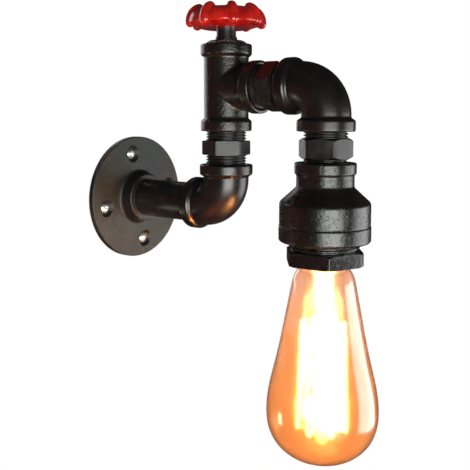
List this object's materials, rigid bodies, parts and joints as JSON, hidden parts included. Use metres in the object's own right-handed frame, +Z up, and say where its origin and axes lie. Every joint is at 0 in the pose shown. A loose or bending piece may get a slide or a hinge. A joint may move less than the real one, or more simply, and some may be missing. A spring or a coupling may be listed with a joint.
{
  "type": "industrial pipe wall light",
  "caption": "Wall light of black banded pipe fittings on a round wall flange, with a red valve handwheel on top and a large pear-shaped filament bulb hanging from a bell reducer.",
  "frame": {"origin": "centre of the wall flange's back face, on the wall plane", "axes": "+Z up, +Y into the wall, so the arm reaches out along -Y"},
  "size_m": [0.086, 0.1985, 0.2766],
  "materials": {
    "iron": "semi-gloss black",
    "pipe_thread": "semi-gloss black",
    "screw_steel": "satin",
    "brass": "satin",
    "wheel_paint": "glossy red",
    "porcelain": "glazed",
    "glass_amber": "clear amber",
    "glass_clear": "clear",
    "insulator": "glossy black",
    "solder": "satin",
    "filament": "glowing"
  },
  "bodies": {
    "base": {"wall_flange": "iron", "wall_nipple": "pipe_thread", "lower_elbow": "iron", "riser_nipple": "pipe_thread", "valve_tee": "iron", "branch_nipple": "pipe_thread", "upper_elbow": "iron", "drop_nipple": "pipe_thread", "bell_reducer": "iron", "lamp_bushing": "iron", "stem_plug": "iron", "holder_body": "porcelain", "holder_shell": "brass", "holder_contact": "brass", "holder_cover": "porcelain", "wall_screw_1": "screw_steel", "wall_screw_2": "screw_steel", "wall_screw_3": "screw_steel", "wall_screw_4": "screw_steel", "terminal_block_left": "brass", "terminal_screw_left": "screw_steel", "terminal_block_right": "brass", "terminal_screw_right": "screw_steel"},
    "wheel": {"valve_stem": "pipe_thread", "stem_clip": "screw_steel", "handwheel": "wheel_paint", "wheel_washer": "screw_steel", "wheel_nut": "screw_steel"},
    "bulb_carrier": {"bulb_tip": "solder"},
    "bulb": {"bulb_glass": "glass_amber", "bulb_cap": "brass", "bulb_insulator": "insulator", "bulb_mount": "glass_clear", "bulb_anchors": "screw_steel", "bulb_filament": "filament", "bulb_lead_left": "solder", "bulb_lead_right": "solder"}
  },
  "joints": [
    {"name": "wheel_turn", "type": "hinge", "parent": "base", "child": "wheel", "pos_m": [0, -0.084, 0.1], "axis": [0, 0, 1], "continuous": true},
    {"name": "lamp_travel", "type": "slide", "parent": "base", "child": "bulb_carrier", "axis": [0, 0, -1], "range_m": [0, 0.0146]},
    {"name": "lamp_turn", "type": "hinge", "parent": "bulb_carrier", "child": "bulb", "pos_m": [0, -0.1575, 0], "axis": [0, 0, -1], "range_deg": [0, 1440]}
  ],
  "couplings": [
    {"joint": "lamp_travel", "follows": "lamp_turn", "m_per_rad": 0.0005776}
  ]
}
